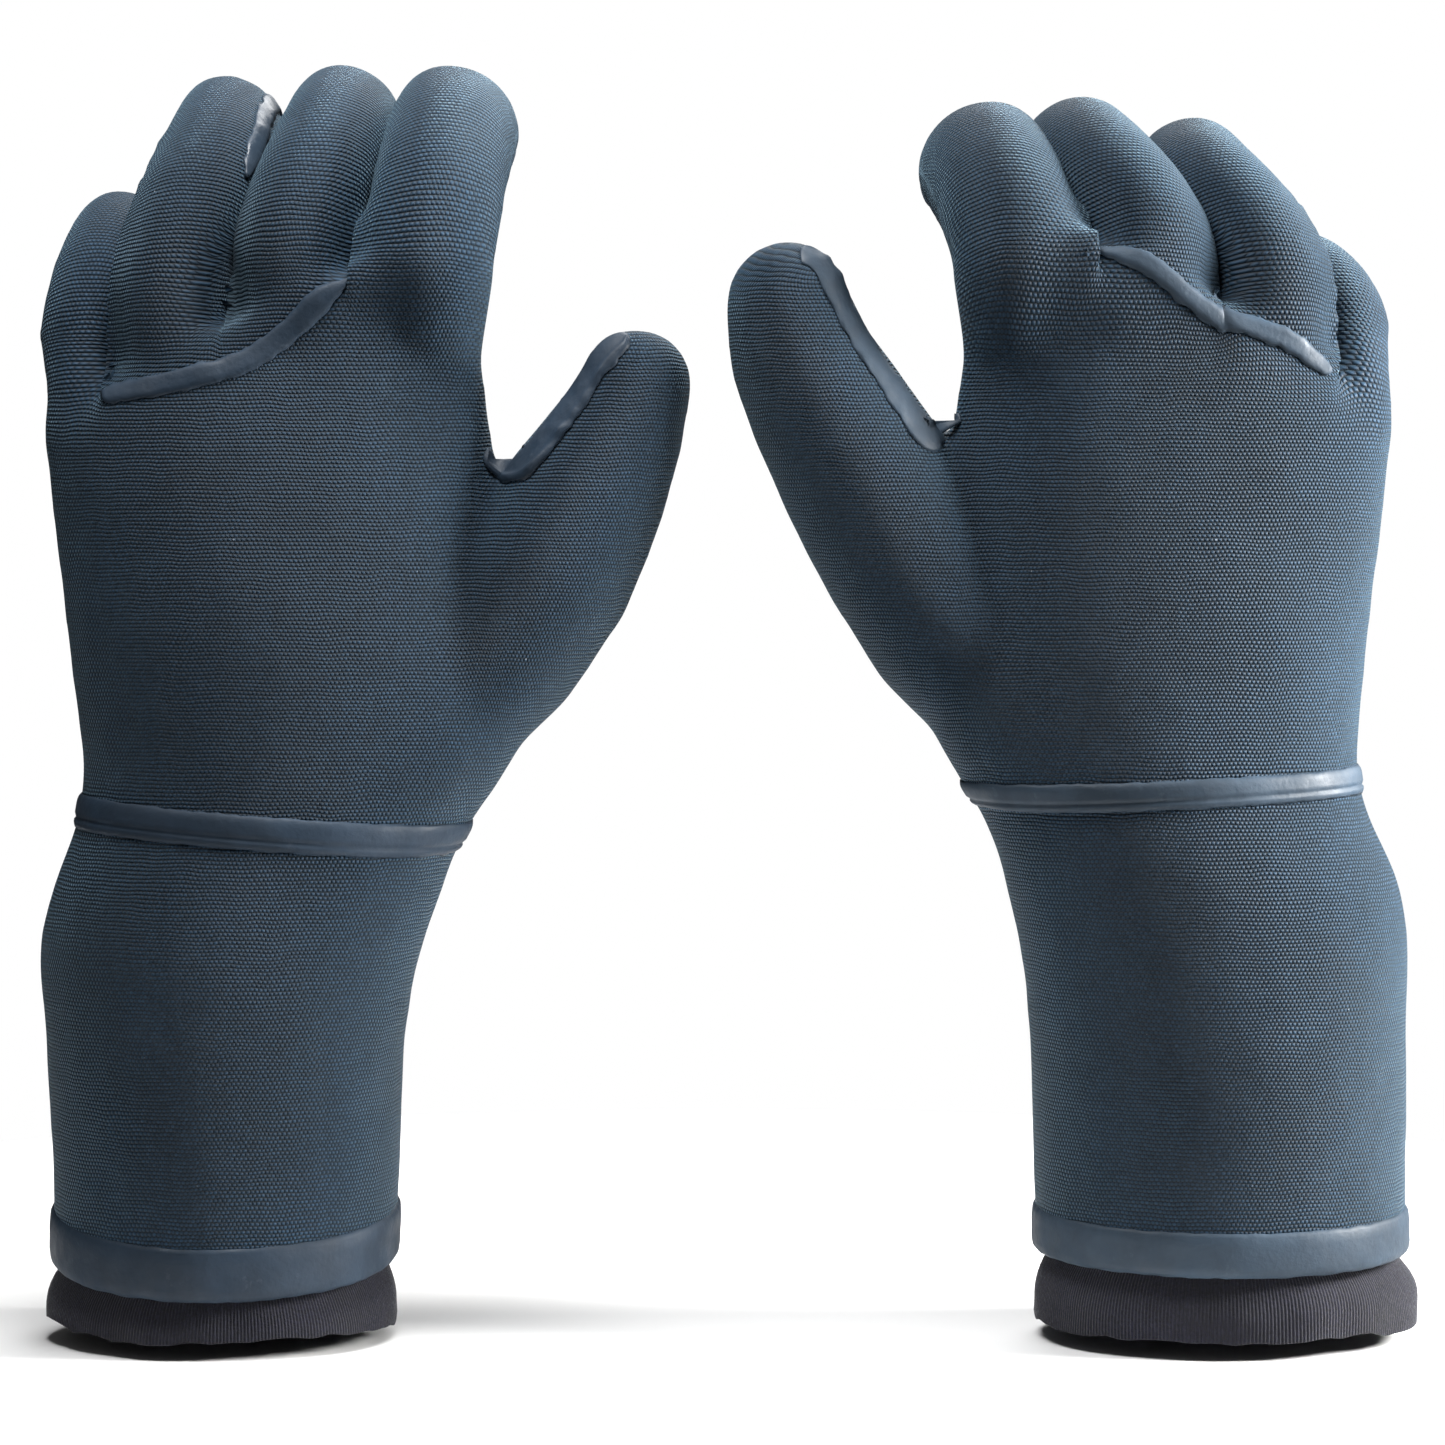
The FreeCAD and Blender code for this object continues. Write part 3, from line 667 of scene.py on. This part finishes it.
def knit(name, colour):
    """Fine matt yarn."""
    mat, shader = material(name, colour, 0.9, specular=0.15, sheen=0.2, sheen_roughness=0.6)
    where = node(mat, "ShaderNodeTexCoord").outputs["Object"]
    yarn = noise_value(mat, where, 1400.0, 3.0, 0.6)
    bumped(mat, shader, yarn, 0.0003, 0.7)
    broad = remap(mat, noise_value(mat, where, 40.0, 3.0), 0.3, 0.7, 0.7, 1.35)
    grey = node(mat, "ShaderNodeCombineColor", i0=broad, i1=broad, i2=broad)
    tone = mixed(mat, remap(mat, yarn, 0.4, 0.65), tint(colour, 0.6), tint(colour, 1.5))
    tone = mixed(mat, 1.0, tone, grey.outputs[0], "MULTIPLY")
    mat.node_tree.links.new(tone, shader.inputs["Base Color"])
    return mat


NEOPRENE = {
    "left": neoprene("left glove neoprene", NAVY, 0),
    "right": neoprene("right glove neoprene", NAVY, 3),
}
# One rubber on both gloves, in two copies: the right glove's is painted lighter and the left's darker, as
# painted light and painted shade for the stronger light on the right glove.
TAPE_LIT_AND_SHADED = {
    "left": rubber("rubber seam tape", (0.0120, 0.0235, 0.0400), 0.60, 0.12),
    "right": rubber("right glove rubber seam tape", (0.0220, 0.0370, 0.0560), 0.60, 0.12),
}
GLUE = rubber("glued seam", (0.022, 0.034, 0.050), 0.34, 0.45)
LINER = knit("ribbed liner knit", (0.0050, 0.0052, 0.0125))
print("materials:", [m.name for m in bpy.data.materials])

# %% [markdown]
# ## Cutting the skin into panels
# The fused skin is curled as one, so that neighbouring panels still meet exactly, and then each panel is
# copied out of it.
# %% Make the panels of one glove
def panel_object(name, skin, keep, side):
    """One panel, cut out of the curled skin and given the sheet's thickness."""
    bm = skin.copy()
    bm.faces.ensure_lookup_table()
    drop = [bm.faces[k] for k in np.flatnonzero(~keep)]
    bmesh.ops.delete(bm, geom=drop, context="FACES")
    thicken(bm, WALL)
    obj = new_object(name, bm, NEOPRENE[side])
    crisp_edges(obj)
    return obj


def glove_skin(side):
    """The fused glove in its flat pattern, and the same mesh curled and placed in metres."""
    flat = rough_glove(side)
    open_cuff(flat, side)
    ripple(flat)
    pattern = coordinates(flat)
    skin = flat.copy()
    where = skin.verts.layers.float_vector.new("weave")
    for v, uv in zip(skin.verts, unroll(pattern, side)):
        v[where] = uv
    place(skin, curl(pattern, side), side)
    return flat, pattern, skin


def bend_points(side, name):
    """The two points between which a finger's cloth starts to follow its hinge."""
    f = Finger(side, name)
    low = (f.web - f.base[2]) / f.along[2] + 0.5
    centre = np.array([f.base + f.along * low, f.base + f.along * (low + 22)])
    start, end = to_world(f.curled(centre), side)
    return tuple(start), tuple(end)


def ride_or_bend(obj, side, part):
    """A cuff piece rides the cuff's body; a hand, thumb or finger piece is baked in place, with the points
    where it would bend worked out but not used.
    """
    if part == "cuff":
        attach(obj, f"{side}_cuff")
    elif part == "hand":
        seam = WRIST_SEAM[side][0]
        start, end = to_world(np.array([(11.5, 0, seam + 5.5), (11.5, 0, seam + 23)]), side)
        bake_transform(obj)
    elif part == "thumb":
        ci, ch = CROTCH[side]
        n = np.array([math.sin(THUMB_TURN), 0, math.cos(THUMB_TURN)])
        ends = np.array([(ci, 0, ch) + n * 0.3, (ci, 0, ch) + n * 24])
        start, end = to_world(ends, side)
        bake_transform(obj)
    else:
        start, end = bend_points(side, part)
        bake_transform(obj)


# %% The design nodes that each panel replaces
REPLACES = {
    "cuff": {"": ["cuff_panel"]},
    "hand": {"back": ["hand_back_panel", "wrist_flex_panel"], "palm": ["palm_panel"]},
    "thumb": {"back": ["thumb_back_panel", "thumb_flex"], "palm": ["thumb_palm_panel"]},
}
for finger in FINGERS:
    REPLACES[finger] = {
        "back": [f"{finger}_back_panel", f"{finger}_knuckle_flex"],
        "palm": [f"{finger}_palm_panel"],
    }


def make_panels(side, pattern, skin):
    """Every cloth panel of one glove: a cuff panel rides the cuff's body, the others are baked in place, and
    the design nodes each replaces are hidden.
    """
    skin.faces.ensure_lookup_table()
    middles = np.array([pattern[[v.index for v in f.verts]].mean(0) for f in skin.faces])
    part = panels(middles, side)
    back = middles[:, 1] < 0.4
    for name, halves in REPLACES.items():
        for half, nodes in halves.items():
            keep = part == name
            if half:
                keep &= back if half == "back" else ~back
            label = "_".join(w for w in (side, name, half, "cloth") if w)
            obj = panel_object(label, skin, keep, side)
            ride_or_bend(obj, side, name)
            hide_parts(*[f"{side}_{n}" for n in nodes])


# %% [markdown]
# ## Laying tape
# A seam tape is a ribbon pressed onto the cloth, thickest along its middle, with edges that bled a little
# into the weave. The helper lays a grid of points along a guide line, drops each on the nearest cloth, and
# lifts it by the tape's crowned thickness. It works on the flat pattern, and the tape is curled afterwards.
# %% Tape helper
TAPE_WALL = 0.5


def resample(guide, step, closed):
    """Evenly spaced points on a smooth line through the guide points."""
    pts = np.array(guide, float)
    if closed:
        pts = np.vstack([pts, pts[:1]])
    gap = np.linalg.norm(np.diff(pts, axis=0), axis=1)
    run = np.concatenate([[0], np.cumsum(gap)])
    count = max(6, int(run[-1] / step))
    at = np.linspace(0, run[-1], count + 1)
    out = np.column_stack([np.interp(at, run, pts[:, k]) for k in range(3)])
    for _ in range(8):
        if closed:
            out[0] = out[-1] = (out[-2] + 2 * out[0] + out[1]) / 4
        out[1:-1] = (out[:-2] + 2 * out[1:-1] + out[2:]) / 4
    return out


def eased(rows, closed, times=6):
    """Smooths rows of numbers along a line."""
    for _ in range(times):
        if closed:
            rows[0] = rows[-1] = (rows[-2] + rows[0] + rows[1]) / 3
        rows[1:-1] = (rows[:-2] + rows[1:-1] + rows[2:]) / 3
    return rows


def lay_tape(name, side, tree, guide, width, mat, height=0.7, closed=False, ragged=0.35, across=8,
             lumps=0.0, crease=0.0, step=1.0, taper=(0.0, 0.0), ridge=0.0):
    """A ribbon on the pattern along the guide, curled with the glove."""
    line = resample(guide, step, closed)
    n = len(line) - 1
    spots = [tree.find_nearest(Vector(p)) for p in line]
    on = np.array([s[0] for s in spots])
    up = eased(np.array([s[1] for s in spots]), closed)
    up /= np.linalg.norm(up, axis=1)[:, None]
    run = np.gradient(line, axis=0)
    if closed:
        run[0] = run[-1] = line[1] - line[-2]
    sideways = np.cross(up, run)
    sideways /= np.linalg.norm(sideways, axis=1)[:, None]
    seed = Vector((sum(map(ord, name)) * 0.37, len(name) * 3.1, 0))
    bm = bmesh.new()
    bmesh.ops.create_grid(bm, x_segments=n, y_segments=across, size=1.0)
    for v in bm.verts:
        k = round((v.co.x + 1) / 2 * n)
        t = v.co.y
        place_on = Vector(on[0 if closed and k == n else k])
        wave = noise.noise(place_on / 2.3 + seed + Vector((0, 0, t * 9)))
        narrow = min(1.0, (k + 0.5) / max(taper[0], 0.5), (n - k + 0.5) / max(taper[1], 0.5)) ** 0.6
        half = width / 2 * max(narrow, 0.12) + ragged * wave * abs(t) ** 3 * 2
        hit, _, _, _ = tree.find_nearest(place_on + Vector(sideways[k]) * t * half)
        lift = height * (1 - 0.85 * t ** 4) + 0.08
        lift += lumps * max(0.0, noise.noise(hit / 2.6 + seed))
        lift -= crease * height * math.exp(-(((t + 0.4) / 0.13) ** 2))
        crest = math.exp(-(((t - math.copysign(0.72, ridge)) / 0.2) ** 2))
        lift += abs(ridge) * (0.5 + noise.noise(place_on / 3.5)) * crest
        v.co = hit + Vector(up[k]) * lift
    if closed:
        bmesh.ops.remove_doubles(bm, verts=bm.verts, dist=0.02)
    return finish_tape(name, side, tree, bm, mat)


def finish_tape(name, side, tree, bm, mat):
    """Faces a ribbon outwards, curls it with the glove and gives it its thickness."""
    bm.normal_update()
    votes = sum(tree.find_nearest(f.calc_center_median())[1].dot(f.normal) for f in bm.faces)
    if votes < 0:
        bmesh.ops.reverse_faces(bm, faces=bm.faces)
    place(bm, curl(coordinates(bm), side), side)
    thicken(bm, TAPE_WALL)
    return new_object(name, bm, mat)


# %% [markdown]
# ## The wrist seam and the cuff's end
# The cuff is a separate tube, glued to the hand along a ring that slants a little, and covered with a tape
# that was folded lengthwise, so it has a crease along its lower edge. The cuff's end is dipped: the tape
# wraps from the outside, over the cut edge and a few millimetres up the inside.
# %% Rings of tape
def ring_guide(side, height, slope):
    """Points round the body on a plane that slants across the glove."""
    heights, dense = spline(BODY[side])
    out = []
    for k in range(72):
        a = 2 * math.pi * k / 72
        c, w, d = (float(np.interp(height, heights, dense[:, j])) for j in range(3))
        i = c + w * math.cos(a)
        out.append((i, d * math.sin(a), height + slope * (i - 10)))
    return out


def wrist_tape(side, tree):
    """The creased tape over the joint between cuff and hand."""
    height, slope = WRIST_SEAM[side]
    wide = {"left": 7.8, "right": 6.6}[side]
    name = f"{side}_wrist_tape"
    guide = ring_guide(side, height, slope)
    obj = lay_tape(name, side, tree, guide, wide, TAPE_LIT_AND_SHADED[side], height=0.95, closed=True, ragged=0.16,
                   across=14, crease=0.5)
    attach(obj, f"{side}_cuff")
    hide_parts(f"{side}_wrist_seam_tape")


END_PROFILE = {  # rise above the cuff's end, and distance out from the cloth
    "left": [(11.0, -0.3), (10.8, 0.25), (9.8, 0.8), (7.0, 1.05), (4.0, 1.05), (1.5, 1.1), (-0.2, 0.9),
             (-1.1, 0.2), (-1.4, -1.2), (-1.1, -2.6), (0.0, -3.4), (3.0, -3.5), (5.0, -3.2), (5.2, -2.2)],
    "right": [(9.2, -0.3), (9.0, 0.25), (8.2, 0.7), (6.0, 0.95), (3.5, 0.95), (1.2, 1.0), (-0.2, 0.8),
              (-1.0, 0.1), (-1.3, -1.2), (-1.0, -2.5), (0.0, -3.3), (3.0, -3.4), (5.0, -3.1), (5.2, -2.1)],
}


def end_tape(side, tree):
    """A closed section swept round the cuff's end, resting on the cloth as it goes."""
    height, tilt = RIM[side]
    slope = math.tan(math.radians(tilt))
    profile = END_PROFILE[side]
    around = 240
    bm = bmesh.new()
    bmesh.ops.create_grid(bm, x_segments=around, y_segments=len(profile), size=1.0)
    heights, dense = spline(BODY[side])
    c, w, d = (float(np.interp(height, heights, dense[:, j])) for j in range(3))
    for v in bm.verts:
        k = round((v.co.x + 1) / 2 * around) % around
        rise, out = profile[round((v.co.y + 1) / 2 * len(profile)) % len(profile)]
        a = 2 * math.pi * k / around
        rise += 0.25 * noise.noise(Vector((math.cos(a), math.sin(a), rise / 40)) * 14)
        on_cloth = max(rise, 0.4)
        guess = Vector((c + w * math.cos(a), d * math.sin(a), height + slope * d * math.sin(a) + on_cloth))
        hit, normal, _, _ = tree.find_nearest(guess)
        away = Vector((normal.x, normal.y, 0)).normalized()
        v.co = Vector((hit.x, hit.y, guess.z)) + away * out + Vector((0, 0, rise - on_cloth))
    bmesh.ops.remove_doubles(bm, verts=bm.verts, dist=0.01)
    bmesh.ops.recalc_face_normals(bm, faces=bm.faces)
    place(bm, coordinates(bm), side)
    obj = new_object(f"{side}_cuff_end_dip", bm, TAPE_LIT_AND_SHADED[side])
    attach(obj, f"{side}_cuff")
    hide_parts(f"{side}_cuff_end_tape")


# %% [markdown]
# ## Tapes on the hand
# One tape follows the seam under the middle and ring fingers, from the web beside the index finger to the
# little finger. Another runs down the inner edge of the thumb into its crotch, over the join where the
# thumb's two halves meet. Each finger has its side seams sealed with a narrower bead.
# %% Finger-base tape and thumb tape
def base_tape(side, tree):
    """The tape over the seam under the middle and ring fingers."""
    guide = [(i, -16.0, h) for i, h in BASE_SEAM[side]]
    wide = {"left": 5.4, "right": 4.4}[side]
    obj = lay_tape(f"{side}_finger_base_tape", side, tree, guide, wide, TAPE_LIT_AND_SHADED[side], height=0.75, ragged=0.3,
                   across=10, taper=(3.0, 9.0), step=0.8)
    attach(obj, f"{side}_hand")
    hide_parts(f"{side}_finger_base_seam_tape")


def thumb_tape(side, tree):
    """From the thumb's tip down its inner edge, round the crotch and a little up the index finger's side."""
    face = math.radians(34)
    guide = []
    for i, h, r, tilt in THUMB[side][:2:-1]:
        a = math.radians(tilt)
        out = -r * math.cos(face)
        guide.append((i + out * math.cos(a), -r * 0.92 * math.sin(face), h - out * math.sin(a)))
    i, h, r, tilt = THUMB[side][-1]
    a = math.radians(tilt)
    tip = (i + r * 0.80 * math.sin(a) - r * 0.35, -r * 0.35, h + r * 0.86)
    ci, ch = CROTCH[side]
    guide = [tip, *guide, (ci + 1.5, -6, ch + 0.5), (ci - 1.6, -5.0, ch + 2.5), (ci - 2.0, -4.0, ch + 5)]
    wide = {"left": 11.0, "right": 9.0}[side]
    obj = lay_tape(f"{side}_thumb_tape", side, tree, guide, wide, TAPE_LIT_AND_SHADED[side], height=0.5, ragged=0.45,
                   across=18, lumps=0.25, taper=(4.0, 14.0), step=0.8, ridge=0.9 * SIGN[side])
    ride_or_bend(obj, side, "thumb")
    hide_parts(f"{side}_thumb_seam_tape")


# %% Side seams of the fingers
def side_seam(side, tree, name):
    """A narrow bead up one side of a finger, over its tip and down the other, a little to the palm side."""
    f = Finger(side, name)
    glossy = (side, name) == ("left", "ring")
    columns = []
    for edge in (-1, 1):
        front = glossy and edge > 0
        turn = math.radians(-38 if front else 34)
        columns.append([])
        for s in np.linspace(26 if front else 2, f.length, 9):
            side_point = f.base + f.along * s + f.across * f.radius * edge * math.cos(turn)
            side_point[1] = f.radius * math.sin(turn)
            columns[-1].append(side_point)
    tip = []
    for degrees in (150, 120, 90, 60, 30):
        a = math.radians(degrees)
        tip.append(f.base + f.along * (f.length + f.radius * math.sin(a)) + f.across * f.radius * math.cos(a))
    guide = columns[0] + tip + columns[1][::-1]
    obj = lay_tape(f"{side}_{name}_side_seam", side, tree, guide, 4.4 if glossy else 2.0,
                   GLUE if glossy else TAPE_LIT_AND_SHADED[side], height=0.5 if glossy else 0.3,
                   ragged=0.4 if glossy else 0.15, lumps=0.5 if glossy else 0.1, taper=(8.0, 8.0))
    ride_or_bend(obj, side, name)
    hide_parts(f"{side}_{name}_seam_tape")


# %% [markdown]
# ## The liner
# Inside the cuff is a thin ribbed knit that hangs a little below the end of the neoprene and springs out to
# the cuff's own width. Its ribs are real geometry here, because they show at the hem, and the hem is cut by
# hand and slightly wavy. Its wall grows straight towards the arm, which keeps the ribs from crossing.
# %% Ribbed liner
LINER_TOP = 68.0
LINER_WALL = 0.9
LINER_LEVELS = 30
RIBS = 312


def liner(side):
    """A ribbed tube from inside the cuff down to the hem."""
    height, tilt = RIM[side]
    slope = math.tan(math.radians(tilt))
    heights, dense = spline(BODY[side])
    rows = np.linspace(8, 90, 60)
    at = [np.interp(rows, heights, dense[:, j]) for j in range(3)]
    around = RIBS * 4
    bm = bmesh.new()
    bmesh.ops.create_grid(bm, x_segments=around, y_segments=LINER_LEVELS, size=1.0)
    for v in bm.verts:
        k = round((v.co.x + 1) / 2 * around) % around
        t = (v.co.y + 1) / 2
        a = 2 * math.pi * k / around
        unit = Vector((math.cos(a), math.sin(a), 0))
        hem = 4.0 + 2.4 * noise.noise(unit * 1.7 + Vector((SIGN[side] * 5.0, 0, 0)))
        hem += 0.8 * noise.noise(unit * 6.0)
        h = hem + (LINER_TOP - hem) * t ** 1.6
        c, w, d = (float(np.interp(max(h, 9), rows, col)) for col in at)
        rim = height + slope * d * math.sin(a)
        inside = WALL + 1.4 + LINER_WALL * 0.5
        drop = min(1.0, max(0.0, (rim - 0.8 - h) / 11.0))
        flare = 1 - (1 - drop) ** 2
        inset = inside * (1 - flare) - 0.2 * flare
        inset += 0.9 * flare * noise.noise(unit * 3.1 + Vector((0, 0, h / 9)))
        inset -= {"left": 1.5, "right": 2.4}[side] * flare * max(0.0, -unit.x) ** 6
        ridge = 0.13 * (math.cos(a * RIBS) if around > RIBS else 0)
        v.co = (c + (w - inset + ridge) * math.cos(a), (d - inset + ridge) * math.sin(a), h)
    bmesh.ops.remove_doubles(bm, verts=bm.verts, dist=0.005)
    bmesh.ops.recalc_face_normals(bm, faces=bm.faces)
    bm.normal_update()
    middle = Vector((0, 0, 30))
    if sum((f.calc_center_median() - middle).dot(f.normal) for f in bm.faces) < 0:
        bmesh.ops.reverse_faces(bm, faces=bm.faces)
    place(bm, coordinates(bm), side)
    radial = np.array([(v.co.x + SIGN[side] * LAYOUT * MM, v.co.y - DEPTH * MM, 0) for v in bm.verts])
    radial /= np.linalg.norm(radial, axis=1)[:, None]
    thicken(bm, LINER_WALL, radial)
    obj = new_object(f"{side}_liner", bm, LINER)
    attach(obj, f"{side}_cuff")
    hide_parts(f"{side}_cuff_liner")
    area = sum(p.area for p in obj.data.polygons) / 2
    share = area / 0.235 / 0.070
    print(f"{side} liner {len(obj.data.polygons)} faces, {area * 1e4:.0f} cm2, share {share:.2f}")


# %% [markdown]
# ## Making both gloves
# The tapes are laid on the flat pattern's skin, so the search tree is built from it before it is thrown away.
# %% Every piece of both gloves
for glove in ("left", "right"):
    flat, pattern, skin = glove_skin(glove)
    make_panels(glove, pattern, skin)
    surface = BVHTree.FromBMesh(flat)
    wrist_tape(glove, surface)
    end_tape(glove, surface)
    base_tape(glove, surface)
    thumb_tape(glove, surface)
    for finger in FINGERS:
        side_seam(glove, surface, finger)
    liner(glove)
    flat.free()
    skin.free()

# %% [markdown]
# ## Light, floor and camera
# The gloves stand on their cuffs on a pale floor. A soft light low on one side grazes the nearer glove, a
# second one close above brightens the fingertips and leaves the palms darker, which brings out the weave, and
# a third from behind keeps the far side readable.
# %% Floor
floor = bmesh.new()
bmesh.ops.create_circle(floor, cap_ends=True, radius=0.36, segments=128)
plain, plain_shader = material("pale floor", (0.86, 0.86, 0.86), 0.8, specular=0.2)
ground = new_object("floor", floor, plain, smooth=False)

world = bpy.data.worlds.new("studio")
bpy.context.scene.world = world
world.use_nodes = True
sky = world.node_tree.nodes["Background"]
sky.inputs["Color"].default_value = (1, 1, 1, 1)
seen = world.node_tree.nodes.new("ShaderNodeLightPath").outputs["Is Camera Ray"]
SOFT_FILL = 0.07  # how much of the white backdrop lights the gloves
level = world.node_tree.nodes.new("ShaderNodeMapRange")
level.inputs[3].default_value = SOFT_FILL
world.node_tree.links.new(seen, level.inputs[0])
world.node_tree.links.new(level.outputs[0], sky.inputs["Strength"])


# %% Lights
def area_light(name, place_at, target, size, watts, spread=180.0, colour=(1, 1, 1)):
    light = bpy.data.lights.new(name, "AREA")
    light.shape = "DISK"
    light.size = size
    light.energy = watts
    light.color = colour
    light.spread = math.radians(spread)
    obj = bpy.data.objects.new(name, light)
    obj.location = place_at
    obj.rotation_euler = (Vector(target) - Vector(place_at)).to_track_quat("-Z", "Y").to_euler()
    bpy.context.scene.collection.objects.link(obj)


area_light("key", (0.58, -0.06, 0.32), (0.14, 0, 0.18), 0.26, 4.2, 80.0, (1.0, 0.99, 0.97))
area_light("top", (-0.08, -0.09, 0.58), (-0.08, 0.0, 0.24), 0.26, 1.8, 120.0)
area_light("back", (0.2, 0.7, 0.9), (0, 0, 0.2), 0.8, 8)

# %% Camera
lens = bpy.data.cameras.new("camera")
lens.sensor_width = 36.0
camera = bpy.data.objects.new("camera", lens)
bpy.context.scene.collection.objects.link(camera)
DISTANCE = 1.12
SPAN = 0.332  # the width of the view at the gloves
aim = Vector((-0.0005, -0.012, 0.142))
camera.location = aim + Vector((0, -DISTANCE, 0.068))
camera.rotation_euler = (aim - camera.location).to_track_quat("-Z", "Y").to_euler()
lens.lens = lens.sensor_width * (aim - camera.location).length / SPAN
bpy.context.scene.camera = camera
bpy.context.scene.view_settings.view_transform = "Standard"
print("lens", round(lens.lens, 1), "camera", [round(v, 3) for v in camera.location])
